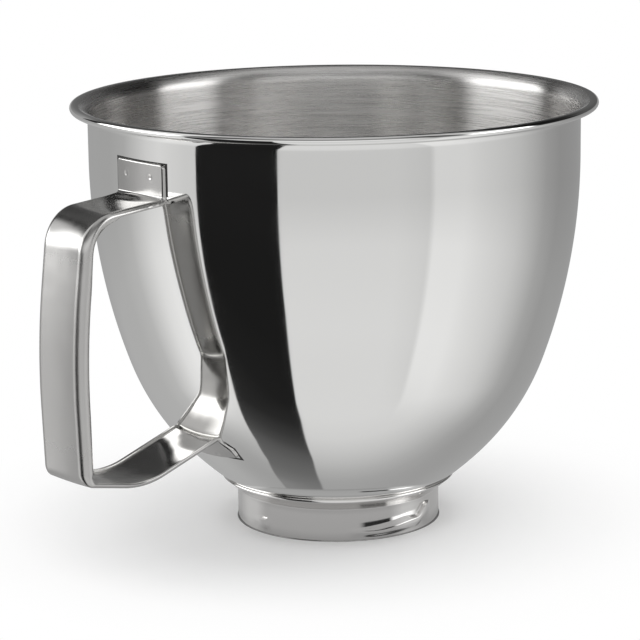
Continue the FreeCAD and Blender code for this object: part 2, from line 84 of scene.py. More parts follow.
def grid_mesh(name, rows, close_rows=False, close_columns=False, flip=False, caps=False):
    """Mesh from rows of points in millimetres, with quads between neighbours."""
    width = len(rows[0])
    vertices = [tuple(c * MM for c in point) for row in rows for point in row]
    faces = []
    for i in range(len(rows) if close_rows else len(rows) - 1):
        here, after = i * width, (i + 1) % len(rows) * width
        for j in range(width if close_columns else width - 1):
            k = (j + 1) % width
            a, b, c, d = here + j, here + k, after + k, after + j
            faces.append((a, d, c, b) if flip else (a, b, c, d))
    smooth_faces = [True] * len(faces)
    if caps:
        faces += [tuple(reversed(range(width))), tuple(range(len(vertices) - width, len(vertices)))]
        smooth_faces += [False, False]
    mesh = bpy.data.meshes.new(name)
    mesh.from_pydata(vertices, [], faces)
    mesh.polygons.foreach_set("use_smooth", smooth_faces)
    mesh.update()
    return mesh


def add_object(name, mesh, material):
    piece = bpy.data.objects.new(name, mesh)
    bpy.context.scene.collection.objects.link(piece)
    mesh.materials.append(material)
    return piece


# Node helpers

class Nodes:
    """Short calls for building a node tree."""

    def __init__(self, tree):
        self.tree = tree
        tree.nodes.clear()

    def add(self, kind, inputs=None, **settings):
        node = self.tree.nodes.new(kind)
        for key, value in settings.items():
            setattr(node, key, value)
        for key, value in (inputs or {}).items():
            socket = node.inputs[key]
            if isinstance(value, bpy.types.NodeSocket):
                self.tree.links.new(value, socket)
            else:
                socket.default_value = value
        return node

    def math(self, operation, *values):
        return self.add("ShaderNodeMath", dict(enumerate(values)), operation=operation).outputs[0]

    def times(self, first, second):
        return self.math("MULTIPLY", first, second)

    def length(self, x, y):
        return self.math("SQRT", self.math("ADD", self.times(x, x), self.times(y, y)))

    def turn(self, y, x):
        """Direction round the axis, as a share of a turn from 0 to 1."""
        return self.math("MULTIPLY_ADD", self.math("ARCTAN2", y, x), 1 / (2 * math.pi), 0.5)

    def place(self):
        return self.add("ShaderNodeTexCoord").outputs["Object"]

    def split(self, vector):
        return self.add("ShaderNodeSeparateXYZ", {"Vector": vector}).outputs

    def noise(self, vector, scale, detail):
        inputs = {"Vector": vector, "Scale": scale, "Detail": detail}
        return self.add("ShaderNodeTexNoise", inputs).outputs["Fac"]

    def bump(self, height, strength, distance):
        inputs = {"Height": height, "Strength": strength, "Distance": distance}
        return self.add("ShaderNodeBump", inputs).outputs["Normal"]

    def colour(self, red, green, blue):
        return self.add("ShaderNodeCombineColor", {0: red, 1: green, 2: blue}).outputs[0]

    def ramp(self, factor, stops):
        """Grey value along a ramp of (place, value)."""
        node = self.add("ShaderNodeValToRGB", {"Fac": factor})
        elements = node.color_ramp.elements
        while len(elements) > 1:
            elements.remove(elements[-1])
        for index, (place, value) in enumerate(stops):
            element = elements[0] if index == 0 else elements.new(place)
            element.position = place
            element.color = (value, value, value, 1)
        return node.outputs["Color"]

    def range(self, value, low, high, start=0.0, end=1.0):
        node = self.add("ShaderNodeMapRange", {
            "Value": value, "From Min": low, "From Max": high, "To Min": start, "To Max": end,
        }, interpolation_type="SMOOTHSTEP")
        return node.outputs["Result"]

    def mix(self, factor, first, second):
        node = self.add("ShaderNodeMix", data_type="FLOAT")
        for socket, value in zip(node.inputs[:1] + node.inputs[2:4], (factor, first, second)):
            if isinstance(value, bpy.types.NodeSocket):
                self.tree.links.new(value, socket)
            else:
                socket.default_value = value
        return node.outputs[0]


def new_material(name):
    material = bpy.data.materials.new(name)
    material.use_nodes = True
    return material, Nodes(material.node_tree)


# Materials

def steel(nodes, colour, roughness, more=None):
    inputs = {"Base Color": colour, "Metallic": 1.0, "Roughness": roughness}
    inputs.update(more or {})
    shader = nodes.add("ShaderNodeBsdfPrincipled", inputs)
    nodes.add("ShaderNodeOutputMaterial", {"Surface": shader.outputs[0]})


def polished_steel():
    """Buffed stainless: nearly a mirror, with a faint waviness and a haze from polishing."""
    material, nodes = new_material("polished_steel")
    place = nodes.place()
    haze = nodes.noise(place, 60.0, 4.0)
    waves = nodes.noise(place, 22.0, 1.0)
    roughness = nodes.range(haze, 0.3, 0.7, 0.035, 0.06)
    steel(nodes, (0.79, 0.788, 0.777, 1), roughness, {"Normal": nodes.bump(waves, 0.02, 0.001)})
    return material


def brushed_steel():
    """Stainless brushed round the bowl's axis: fine rings that spread the light up and down."""
    material, nodes = new_material("brushed_steel")
    x, y, z = nodes.split(nodes.place())
    # long round the axis, and thin along the meridian
    along = nodes.add("ShaderNodeCombineXYZ", {
        0: nodes.times(nodes.math("ARCTAN2", y, x), 4.0),
        1: nodes.times(nodes.length(x, y), 200.0),
        2: nodes.times(z, 2200.0),
    }).outputs[0]
    rings = nodes.noise(along, 1.0, 2.0)
    shade = nodes.range(rings, 0.25, 0.75, 0.64, 0.86)
    colour = nodes.colour(shade, nodes.times(shade, 0.986), nodes.times(shade, 0.97))
    steel(nodes, colour, nodes.range(rings, 0.2, 0.8, 0.25, 0.30), {
        "Anisotropic": 1.0,
        "Anisotropic Rotation": 0.25,
        "Tangent": nodes.add("ShaderNodeTangent", direction_type="RADIAL", axis="Z").outputs[0],
    })
    return material


def satin_steel():
    """The foot ring's steel: polished less than the bowl, with faint marks."""
    material, nodes = new_material("satin_steel")
    marks = nodes.noise(nodes.place(), 70.0, 3.0)
    steel(nodes, (0.77, 0.76, 0.748, 1), nodes.range(marks, 0.3, 0.7, 0.13, 0.17))
    return material


def buffed_steel():
    """The handle's steel: buffed by hand along the strap, softer than the bowl and a little uneven."""
    material, nodes = new_material("buffed_steel")
    place = nodes.place()
    drawn = nodes.add("ShaderNodeMapping", {"Vector": place, "Scale": (260.0, 260.0, 9.0)}).outputs[0]
    marks = nodes.noise(drawn, 1.0, 3.0)
    uneven = nodes.noise(place, 38.0, 2.0)
    # the grip is worn to a satin, and the arms are brighter toward the bowl
    x, _, z = nodes.split(place)
    grip = nodes.times(nodes.range(x, -0.132, -0.122, 1.0, 0.0), nodes.range(z, 0.046, 0.062))
    grip = nodes.times(grip, nodes.range(z, 0.128, 0.144, 1.0, 0.0))
    arms = nodes.math("MULTIPLY_ADD", marks, 0.08, nodes.range(x, -0.118, -0.100, 0.18, 0.08))
    roughness = nodes.math("MULTIPLY_ADD", grip, 0.07, arms)
    steel(nodes, (0.53, 0.524, 0.514, 1), roughness, {"Normal": nodes.bump(uneven, 0.32, 0.0015)})
    return material


def painted_gap_shadow():
    """Painted shadow: a near-black finish for strips in the narrow gap between the bowl and the edges of
    the two tabs, standing in for the shade and dark reflection there.
    """
    material, nodes = new_material("gap")
    steel(nodes, (0.035, 0.034, 0.033, 1), 0.55, {"Metallic": 0.6})
    return material


POLISHED = polished_steel()
BRUSHED = brushed_steel()
SATIN = satin_steel()
BUFFED = buffed_steel()
GAP_SHADOW = painted_gap_shadow()


# Bowl

TOTAL_HEIGHT = 181.4
RIM_RADIUS = 111.0
WALL_RADIUS = 103.57
SHEET = 0.8
BEAD = 1.65             # radius of the curled rim's bead
FLARE = 5.6             # radius of the flare below the bead
WALL_ARC = 253.0        # the meridian's arcs, from the rim down
BELLY_ARC = 106.3
BELLY_SLOPE = 70.1      # slope where the two arcs meet
CONE_SLOPE = 39.3
CONE_BASE = 33.95       # radius where the cone's line meets the floor's level
FLOOR_HEIGHT = 7.4
FLOOR_ARC = 22.0
DIMPLE_CREST = 20.0
DIMPLE_FOOT = 11.0
DIMPLE_SLOPE = 26.0
BELLY_FOOT = 43.0       # slope where the outer face leaves the belly's arc
FLANGE_SLOPE = 35.5     # slope of the outer face at the foot ring's flange
FLANGE_REACH = 50.2     # radius where the outer face leaves the cone
TURNS = 288             # steps round the bowl
POLISHED_LIP = 3.2      # how far the outer polish runs over the rim into the bowl


def eased(start, slope, end, end_slope, steps):
    """Points along a curve between two points with given slopes, without its last one."""
    length = math.hypot(end[0] - start[0], end[1] - start[1])
    pull = [(length * cosine(a), length * sine(a)) for a in (slope, end_slope)]
    points = []
    for i in range(steps):
        t = i / steps
        parts = (
            2 * t ** 3 - 3 * t ** 2 + 1, t ** 3 - 2 * t ** 2 + t,
            3 * t ** 2 - 2 * t ** 3, t ** 3 - t ** 2,
        )
        points.append(tuple(
            parts[0] * start[k] + parts[1] * pull[0][k] + parts[2] * end[k] + parts[3] * pull[1][k]
            for k in (0, 1)
        ))
    return points


class Meridian:
    """The bowl's meridian at a distance inside its outer face."""

    def __init__(self, inset):
        reach = (DIMPLE_CREST + DIMPLE_FOOT) * sine(DIMPLE_SLOPE)
        rise = (DIMPLE_CREST + DIMPLE_FOOT) * (1 - cosine(DIMPLE_SLOPE))
        self.inset = inset
        self.crest_c = (0, FLOOR_HEIGHT + rise - DIMPLE_CREST)
        self.foot_c = (reach, FLOOR_HEIGHT + DIMPLE_FOOT)
        floor_x = CONE_BASE - FLOOR_ARC * math.tan(math.radians(CONE_SLOPE / 2))
        self.floor_c = (floor_x, FLOOR_HEIGHT + FLOOR_ARC)
        difference = WALL_ARC - BELLY_ARC
        wall_x = WALL_RADIUS - WALL_ARC
        belly_x = wall_x + difference * sine(BELLY_SLOPE)
        cone_start = on_circle(self.floor_c, FLOOR_ARC, CONE_SLOPE - 90)
        length = (belly_x + BELLY_ARC * sine(CONE_SLOPE) - cone_start[0]) / cosine(CONE_SLOPE)
        belly_z = cone_start[1] + length * sine(CONE_SLOPE) + BELLY_ARC * cosine(CONE_SLOPE)
        self.belly_c = (belly_x, belly_z)
        self.wall_c = (wall_x, belly_z + difference * cosine(BELLY_SLOPE))
        self.bead_c = (RIM_RADIUS - BEAD, TOTAL_HEIGHT - BEAD)
        span = FLARE + SHEET - BEAD
        flare_x = WALL_RADIUS + FLARE
        self.flare_angle = math.degrees(math.acos((flare_x - self.bead_c[0]) / span))
        self.flare_c = (flare_x, self.bead_c[1] - span * sine(self.flare_angle))

    def points(self, crest=10, floor=8, belly=44, wall=52, flare=16, flare_end=None):
        """From the axis to the flare's end."""
        inset = self.inset
        flare_end = 180 - self.flare_angle if flare_end is None else flare_end
        cone = [
            on_circle(self.floor_c, FLOOR_ARC - inset, CONE_SLOPE - 90),
            on_circle(self.belly_c, BELLY_ARC - inset, CONE_SLOPE - 90),
        ]
        floor_in = (self.foot_c[0], FLOOR_HEIGHT + inset)
        floor_out = (self.floor_c[0], FLOOR_HEIGHT + inset)
        crest_arc = arc(self.crest_c, DIMPLE_CREST + inset, 89.5, 90 - DIMPLE_SLOPE, crest)
        foot_arc = arc(self.foot_c, DIMPLE_FOOT - inset, 270 - DIMPLE_SLOPE, 270, crest)
        side = line((WALL_RADIUS - inset, self.wall_c[1]), (WALL_RADIUS - inset, self.flare_c[1]), 6)
        belly_foot = CONE_SLOPE
        lower = line(*cone, 8)
        if inset == 0:
            # the outer face is drawn in a little over the foot ring
            belly_foot = BELLY_FOOT
            along = (FLANGE_REACH - cone[0][0]) * math.tan(math.radians(CONE_SLOPE))
            seat = (FLANGE_REACH, cone[0][1] + along)
            top = on_circle(self.belly_c, BELLY_ARC, BELLY_FOOT - 90)
            lower = line(cone[0], seat, 3) + eased(seat, FLANGE_SLOPE, top, BELLY_FOOT, 14)
        return (
            crest_arc + foot_arc + line(floor_in, floor_out, 3)
            + arc(self.floor_c, FLOOR_ARC - inset, -90, CONE_SLOPE - 90, floor)
            + lower
            + arc(self.belly_c, BELLY_ARC - inset, belly_foot - 90, BELLY_SLOPE - 90, belly)
            + arc(self.wall_c, WALL_ARC - inset, BELLY_SLOPE - 90, 0, wall)
            + side
            + arc(self.flare_c, FLARE + inset, 180, flare_end, flare)
            + [on_circle(self.flare_c, FLARE + inset, flare_end)]
        )


def build_bowl():
    outside, inside = Meridian(0), Meridian(SHEET)
    # the curl closes against the flare where the two circles cross
    span = FLARE + SHEET - BEAD
    along = (FLARE ** 2 - BEAD ** 2 + span ** 2) / (2 * span)
    notch = math.degrees(math.acos(along / FLARE))
    line_up = 180 - outside.flare_angle
    notch_point = on_circle(outside.flare_c, FLARE, line_up + notch)
    from_bead = (notch_point[0] - outside.bead_c[0], notch_point[1] - outside.bead_c[1])
    first = math.degrees(math.atan2(from_bead[1], from_bead[0]))
    profile = outside.points(flare_end=line_up + notch)
    profile += arc(outside.bead_c, BEAD, first - 360, line_up, 30)[1:]
    lip = len(profile)
    profile += list(reversed(inside.points(belly=26, wall=30)))
    rows = []
    for step in range(TURNS):
        turn = 360 * step / TURNS
        rows.append([(r * cosine(turn), r * sine(turn), z) for r, z in profile])
    mesh = grid_mesh("bowl_skin", rows, close_rows=True, flip=True)
    piece = add_object("bowl_skin", mesh, POLISHED)
    mesh.materials.append(BRUSHED)
    # the brushing starts a little inside the rim
    columns = len(profile) - 1
    brushed_radius = RIM_RADIUS - POLISHED_LIP
    brushed = [
        j >= lip and max(profile[j][0], profile[j + 1][0]) < brushed_radius for j in range(columns)
    ]
    indices = [int(brushed[i % columns]) for i in range(len(mesh.polygons))]
    mesh.polygons.foreach_set("material_index", indices)
    return piece


bowl = build_bowl()
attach(bowl, "root")
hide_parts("bowl")


# Base ring, with the bayonet ramps pressed out of it

RING_RADIUS = 43.4
RING_SHEET = 0.9
RING_BEND = 1.5
FLANGE_RADIUS = 50.0
FOOT_EDGE = 0.3         # rounding of the lower edge
PAIRS = 2               # times that a ramp and a lug come round the ring
RAMP_START = -129.0     # direction of a ramp's low tip
RAMP_SWEEP = 58.0
RAMP_LOW = 4.0          # heights of a ramp's crest
RAMP_HIGH = 6.2
STOP_TOP = 10.8
STOP_RUN_OUT = 1.08     # share of the sweep where the stop has gone
RAMP_OUT = 1.9
RAMP_FLANK = 2.6
LUG_START = 169.0
LUG_SWEEP = 19.0
LUG_HEIGHT = 6.1
PRESS_START = 0.9       # heights between which the wall is pressed out
PRESS_TOP = 12.6
RING_TURNS = 600        # steps round the ring


def straight(place, table):
    for (first, low), (last, high) in zip(table, table[1:]):
        if place <= last:
            return low + (high - low) * max(0, place - first) / (last - first)
    return table[-1][1]


def pressed_form(height, crest, flank, swell):
    """How far a form stands out at a height: a sharp crest, a straight flank and a soft skirt."""
    if height > crest:
        share = straight((height - crest) / flank, [(0, 1), (0.08, 0.96), (0.85, 0.08), (1, 0)])
    else:
        share = blend((crest - height) / (crest - PRESS_START), [(0, 1), (0.12, 0.98), (1, 0)])
    return RAMP_OUT * swell * share


def pressed_out(turn, height):
    """How far the ramps and lugs push the ring's wall outward."""
    share = (turn - RAMP_START) % (360 / PAIRS) / RAMP_SWEEP
    crest = blend(share, [(0, RAMP_LOW + 0.8), (0.34, RAMP_LOW), (0.78, RAMP_HIGH), (0.96, STOP_TOP)])
    flank = RAMP_FLANK * blend(share, [(0, 0.2), (0.42, 1), (0.6, 0.9), (0.8, 0.5), (1, 0.3)])
    swell = blend(share, [(0, 0), (0.34, 1), (0.9, 1), (STOP_RUN_OUT, 0)])
    ramp = pressed_form(height, crest, flank, swell) if share < STOP_RUN_OUT else 0
    share = (turn - LUG_START) % (360 / PAIRS) / LUG_SWEEP
    flank = RAMP_FLANK * blend(share, [(0, 0.15), (0.88, 0.7), (1, 0.4)])
    swell = blend(share, [(0, 0), (0.88, 1), (1, 0)])
    lug = pressed_form(height, LUG_HEIGHT, flank, swell) if share < 1 else 0
    return max(ramp, lug)


def build_ring():
    back = RING_BEND + RING_SHEET
    rise = ((RING_RADIUS + RING_BEND - CONE_BASE) * sine(CONE_SLOPE) - back) / cosine(CONE_SLOPE)
    centre = (RING_RADIUS + RING_BEND, FLOOR_HEIGHT + rise)
    bore = RING_RADIUS - RING_SHEET
    low = on_circle(centre, RING_BEND, 90 + CONE_SLOPE)
    low_edge = (FLANGE_RADIUS, low[1] + (FLANGE_RADIUS - low[0]) * math.tan(math.radians(CONE_SLOPE)))
    high_edge = on_circle(low_edge, RING_SHEET, 90 + CONE_SLOPE)
    edge = FOOT_EDGE
    outer = (
        line((bore + edge, 0), (RING_RADIUS - edge, 0), 2)
        + arc((RING_RADIUS - edge, edge), edge, -90, 0, 4)
        + line((RING_RADIUS, edge), (RING_RADIUS, PRESS_TOP), 58)
        + line((RING_RADIUS, PRESS_TOP), (RING_RADIUS, centre[1]), 3)
        + arc(centre, RING_BEND, 180, 90 + CONE_SLOPE, 8)
        + line(low, low_edge, 4)
        + line(low_edge, high_edge, 2)
    )
    inner = (
        line(high_edge, on_circle(centre, back, 90 + CONE_SLOPE), 3)
        + arc(centre, back, 90 + CONE_SLOPE, 180, 6)
        + line((bore, centre[1]), (bore, PRESS_TOP), 2)
        + line((bore, PRESS_TOP), (bore, edge), 22)
        + arc((bore + edge, edge), edge, 180, 270, 3)
    )
    rows = []
    for step in range(RING_TURNS):
        turn = RAMP_START + 360 / RING_TURNS * step
        row = []
        for r, z in outer + inner:
            r += pressed_out(turn, z) if z <= PRESS_TOP else 0
            row.append((r * cosine(turn), r * sine(turn), z))
        rows.append(row)
    mesh = grid_mesh("foot_ring", rows, close_rows=True, close_columns=True, flip=True)
    return add_object("foot_ring", mesh, SATIN)


ring = build_ring()
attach(ring, "root")
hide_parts("base_ring")


# Handle

STRAP_SHEET = 1.3
STRAP_WIDTH = 29.0
TAB_WIDTH = 30.4
FOOT_TAB_WIDTH = 36.2
TAB_TOP = 166.6
ARM_HEIGHT = 152.4
ARM_DROP = 4.5                      # slope of the upper arm
SHOULDER = (141.1, 17.0)            # reach, bend radius
GRIP = (147.9, 95.0, 300.0)         # reach, height, bow radius
HEEL = (145.8, 42.3, 6.5)
KNEE = (115.1, 36.1, 38.5)
FOOT_TAB_TOP = 48.8
FOOT_TAB_DROP = 8.4
TAB_BEND = 1.6
GRIP_FLANGE = 5.8                   # depths of the turned edges
ARM_FLANGE = 2.4
TAB_FLANGE = 2.2
GRIP_CROWN = -0.7                   # a slight dish
ARM_DISH = 0.6
TAB_CORNER = 2.0
TAB_EDGE = 0.4
LIP = 0.35                          # rounding of the turned edges
CURL = 0.8                          # how far the grip's edges turn in
WELD_RADIUS = 1.3
WELD_DEPTH = 0.22
WELD_RIM = 0.06                     # raised metal round a weld's dimple
WELD_SPACING = 15.6
WELD_HEIGHT = 161.0                 # on the upper tab
WELD_FROM_END = 2.2                 # on the lower tab
ON_SKIN = 0.06                      # height of the painted shadow strips over the bowl
SUNK = 0.3                          # how deep the handle may go into the bowl's sheet
SEAM_STEPS = 16

outer_face = Meridian(0)


def beside_bowl(height, gap):
    slope = math.asin((height - outer_face.belly_c[1]) / BELLY_ARC)
    return on_circle(outer_face.belly_c, BELLY_ARC + gap, math.degrees(slope))


def lower_crown(height, width):
    slope = math.asin((height - outer_face.belly_c[1]) / BELLY_ARC)
    return (width / 2) ** 2 * math.cos(slope) / (2 * beside_bowl(height, 0)[0])


UPPER_CROWN = (TAB_WIDTH / 2) ** 2 / (2 * WALL_RADIUS)
TAB_END = FOOT_TAB_TOP - FOOT_TAB_DROP
BEND_CROWN = lower_crown(FOOT_TAB_TOP, STRAP_WIDTH)
END_CROWN = lower_crown(TAB_END, FOOT_TAB_WIDTH)


def strap_corners():
    wall = WALL_RADIUS + STRAP_SHEET - UPPER_CROWN
    drop = math.tan(math.radians(ARM_DROP)) * (SHOULDER[0] - wall)
    return [
        ((wall, TAB_TOP), 0),
        ((wall, ARM_HEIGHT), TAB_BEND),
        ((SHOULDER[0], ARM_HEIGHT - drop), SHOULDER[1]),
        (GRIP[:2], GRIP[2]),
        (HEEL[:2], HEEL[2]),
        (KNEE[:2], KNEE[2]),
        (beside_bowl(FOOT_TAB_TOP, STRAP_SHEET - BEND_CROWN), TAB_BEND),
        (beside_bowl(TAB_END, STRAP_SHEET - END_CROWN), 0),
    ]


def strap_stations(gap=1.6, tab_gap=0.4, turn_step=4.0):
    """Stations (place, distance run, point, heading) along the rounded path."""
    corners = strap_corners()
    stations = []
    run = 0.0
    here = corners[0][0]
    for number in range(1, len(corners)):
        point, radius = corners[number]
        heading = math.atan2(point[1] - here[1], point[0] - here[0])
        turn = 0.0
        if number + 1 < len(corners):
            after = corners[number + 1][0]
            turn = math.atan2(after[1] - point[1], after[0] - point[0]) - heading
            turn = (turn + math.pi) % (2 * math.pi) - math.pi
        length = math.hypot(point[0] - here[0], point[1] - here[1]) - radius * abs(math.tan(turn / 2))
        on_tab = number in (1, len(corners) - 1)
        steps = max(2, round(length / (tab_gap if on_tab else gap)))
        reach = 1 if number == len(corners) - 1 else 0.8
        for step in range(steps):
            way = length * step / steps
            spot = (here[0] + way * math.cos(heading), here[1] + way * math.sin(heading))
            stations.append((number - 1 + reach * step / steps, run + way, spot, heading))
        run += length
        begin = (here[0] + length * math.cos(heading), here[1] + length * math.sin(heading))
        if turn == 0:
            stations.append((number, run, begin, heading))
            break
        side = math.copysign(1, turn)
        centre = (
            begin[0] - side * radius * math.sin(heading), begin[1] + side * radius * math.cos(heading),
        )
        steps = max(2, math.ceil(math.degrees(abs(turn)) / turn_step), round(radius * abs(turn) / gap))
        for step in range(steps + 1):
            angle = heading + turn * step / steps
            spot = (
                centre[0] + side * radius * math.sin(angle), centre[1] - side * radius * math.cos(angle),
            )
            if step < steps:
                place = number + 0.2 * (step / steps - 1)
                stations.append((place, run + radius * abs(turn) * step / steps, spot, angle))
        run += radius * abs(turn)
        here = spot
    return stations


def strap_outline(place, run, total):
    """Outline (across, outward) of the strap's sheet, going once round."""
    half = blend(place, [
        (0, TAB_WIDTH / 2), (1, TAB_WIDTH / 2), (1.2, STRAP_WIDTH / 2), (6, STRAP_WIDTH / 2),
        (6.6, FOOT_TAB_WIDTH / 2),
    ])
    depth = blend(place, [
        (0, TAB_FLANGE), (1, TAB_FLANGE), (1.2, ARM_FLANGE), (1.65, ARM_FLANGE), (2, GRIP_FLANGE - 0.5),
        (2.8, GRIP_FLANGE), (3.8, GRIP_FLANGE - 0.5), (4, ARM_FLANGE - 0.2), (5.8, ARM_FLANGE - 0.2),
        (7, TAB_FLANGE),
    ])
    corner = blend(place, [
        (0, 1.5), (1, 1.6), (1.2, ARM_FLANGE - 0.5), (1.8, ARM_FLANGE - 0.4), (2, GRIP_FLANGE - 1.9),
        (3.8, GRIP_FLANGE - 1.9), (4, ARM_FLANGE - 0.5), (5.8, ARM_FLANGE - 0.6), (7, 1.6),
    ])
    rise = blend(place, [
        (0, UPPER_CROWN), (1.0, UPPER_CROWN), (1.2, -ARM_DISH), (1.8, -ARM_DISH / 2), (2, GRIP_CROWN),
        (3.8, GRIP_CROWN), (4, 0.3), (4.8, 0.01), (5.4, 0.01), (6, BEND_CROWN), (7, END_CROWN),
    ])
    sheet = min(STRAP_SHEET, corner - 0.05)
    low = 0.0
    for end in (run, total - run):
        if end < TAB_CORNER:
            half -= TAB_CORNER - math.sqrt(TAB_CORNER ** 2 - (TAB_CORNER - end) ** 2)
        if end < TAB_EDGE:
            low += TAB_EDGE - math.sqrt(TAB_EDGE ** 2 - (TAB_EDGE - end) ** 2)
    flat = half - corner
    rim = half - sheet
    inner = corner - sheet
    side = depth - LIP - corner
    curl = CURL * smooth((depth - 3.2) / 2)
    outline = []
    outline += [(-half + curl * (1 - i / 6) ** 2, -depth + LIP + side * i / 6) for i in range(6)]
    outline += [(-flat - corner * cosine(q), -corner + corner * sine(q)) for q in range(0, 90, 10)]
    for i in range(61):
        across = -flat + 2 * flat * i / 60
        outline.append((across, rise * (1 - (across / flat) ** 2)))
    outline += [(flat + corner * sine(q), -corner + corner * cosine(q)) for q in range(10, 91, 10)]
    outline += [(half - curl * (i / 6) ** 2, -corner - side * i / 6) for i in range(1, 7)]
    edge, back = half - curl, rim - curl
    small = LIP * 0.3
    outline += [(edge - small, -depth + small), (edge - LIP, -depth), (back + LIP, -depth),
                (back + small, -depth + small), (back, -depth + LIP)]
    outline += [(rim, -corner)]
    outline += [(flat + inner * cosine(q), -corner + inner * sine(q)) for q in range(15, 91, 15)]
    for i in range(1, 16):
        across = flat - 2 * flat * i / 16
        outline.append((across, rise * (1 - (across / flat) ** 2) - sheet))
    outline += [(-flat - inner * sine(q), -corner + inner * cosine(q)) for q in range(0, 91, 15)]
    outline += [(-back, -depth + LIP), (-back - small, -depth + small), (-back - LIP, -depth),
                (-edge + LIP, -depth), (-edge + small, -depth + small)]
    return [(across, out - low) for across, out in outline]


def skin_radius(height):
    """Radius of the bowl's outer face."""
    if height > outer_face.wall_c[1]:
        return WALL_RADIUS
    if height > on_circle(outer_face.belly_c, BELLY_ARC, BELLY_SLOPE - 90)[1]:
        slope = math.asin((height - outer_face.wall_c[1]) / WALL_ARC)
        return outer_face.wall_c[0] + WALL_ARC * math.cos(slope)
    return beside_bowl(height, 0)[0]


def on_bowl(across, height):
    """A point just outside the bowl's face, on the handle's side."""
    radius = skin_radius(height) + ON_SKIN
    return (-math.sqrt(radius ** 2 - across ** 2), -across, height)


def kept_out(x, y, z):
    """The point, held near the bowl's outer face so that nothing shows inside the bowl."""
    push = max(1.0, (skin_radius(z) - SUNK) / math.hypot(x, y))
    return (x * push, y * push, z)


def weld_dimple(away):
    """Depth of a spot weld's dimple at a distance from its middle, in weld radii."""
    return WELD_DEPTH * smooth(1 - away) - WELD_RIM * smooth(1 - abs(away - 1.2) / 0.5)


def build_handle():
    stations = strap_stations()
    total = stations[-1][1]
    welds = [
        (sign * WELD_SPACING / 2, distance)
        for sign in (-1, 1)
        for distance in (TAB_TOP - WELD_HEIGHT, total - WELD_FROM_END)
    ]
    rows = []
    for place, run, spot, heading in stations:
        row = []
        on_tab = place < 1 or place > 6
        for across, out in strap_outline(place, run, total):
            for weld_across, weld_run in welds:
                if on_tab and out > -0.6:
                    away = math.hypot(across - weld_across, run - weld_run) / WELD_RADIUS
                    out -= weld_dimple(away)
            reach = spot[0] - math.sin(heading) * out
            row.append(kept_out(-reach, -across, spot[1] + math.cos(heading) * out))
        rows.append(row)
    mesh = grid_mesh("strap_handle", rows, close_columns=True, caps=True)
    return add_object("strap_handle", mesh, BUFFED)


def both_sides(half):
    """A strip's (near, far) corners down one side of a tab, then up the other side."""
    return half + [((-near[0], near[1]), (-far[0], far[1])) for near, far in reversed(half)]


def build_seam_shadows():
    """Strips that lie on the bowl along the tabs' edges, with painted shadow for the dark gap there."""
    tab, foot, strap = TAB_WIDTH / 2, FOOT_TAB_WIDTH / 2, STRAP_WIDTH / 2
    bend, foot_bend = ARM_HEIGHT + 0.5, FOOT_TAB_TOP - 3.0
    upper = both_sides([
        ((-tab + 0.3, bend), (-tab - 1.0, bend)),
        ((-tab + 0.3, TAB_TOP - 0.3), (-tab - 1.0, TAB_TOP + 0.4)),
    ])
    lower = both_sides([
        ((-strap - 0.4, FOOT_TAB_TOP), (-strap - 0.8, FOOT_TAB_TOP)),
        ((-foot + 0.3, foot_bend), (-foot - 0.7, foot_bend)),
        ((-foot + 0.3, TAB_END + 0.3), (-foot - 0.7, TAB_END - 0.5)),
    ])
    vertices, faces = [], []
    for path in (upper, lower):
        base = len(vertices)
        for (near, far), (near_end, far_end) in zip(path, path[1:]):
            for pair in zip(line(near, near_end, SEAM_STEPS), line(far, far_end, SEAM_STEPS)):
                vertices += [tuple(c * MM for c in on_bowl(*spot)) for spot in pair]
        faces += [(i, i + 1, i + 3, i + 2) for i in range(base, len(vertices) - 2, 2)]
    mesh = bpy.data.meshes.new("tab_seam_shadows")
    mesh.from_pydata(vertices, [], faces)
    mesh.update()
    return add_object("tab_seam_shadows", mesh, GAP_SHADOW)


handle = build_handle()
seam_shadows = build_seam_shadows()
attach(seam_shadows, "root")
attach(handle, "root")
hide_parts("handle")


# Studio: the floor, the light and what the steel reflects

def build_floor():
    """White floor that fades into the white background."""
    material, nodes = new_material("studio_floor")
    distance = nodes.add("ShaderNodeVectorMath", {0: nodes.place()}, operation="LENGTH").outputs["Value"]
    # painted contact shadow: the floor is darker under and inside the foot ring
    contact_shadow = nodes.range(distance, 0.0435, 0.0440, 0.15, 1.0)
    pale = nodes.colour(contact_shadow, contact_shadow, contact_shadow)
    white = nodes.add("ShaderNodeBsdfDiffuse", {"Color": pale}).outputs[0]
    glow = nodes.add("ShaderNodeEmission", {"Color": (1, 1, 1, 1), "Strength": 1.0}).outputs[0]
    # painted light: a white glow mixed in more with distance, which lightens the floor's shadow away
    # from the foot
    lift = nodes.ramp(nodes.times(distance, 5.0), [
        (0.24, 0.0), (0.28, 0.12), (0.42, 0.13), (0.57, 0.38), (0.72, 0.82), (0.9, 1.0),
    ])
    paint = nodes.add("ShaderNodeMixShader", {0: lift, 1: white, 2: glow}).outputs[0]
    clear = nodes.add("ShaderNodeBsdfTransparent").outputs[0]
    mixed = nodes.add("ShaderNodeMixShader", {0: nodes.range(distance, 0.45, 0.9), 1: paint, 2: clear})
    nodes.add("ShaderNodeOutputMaterial", {"Surface": mixed.outputs[0]})
    reach = 1000
    rows = [[(-reach, y, 0), (reach, y, 0)] for y in (-reach, reach)]
    floor = add_object("floor", grid_mesh("floor", rows), material)
    floor.visible_glossy = False


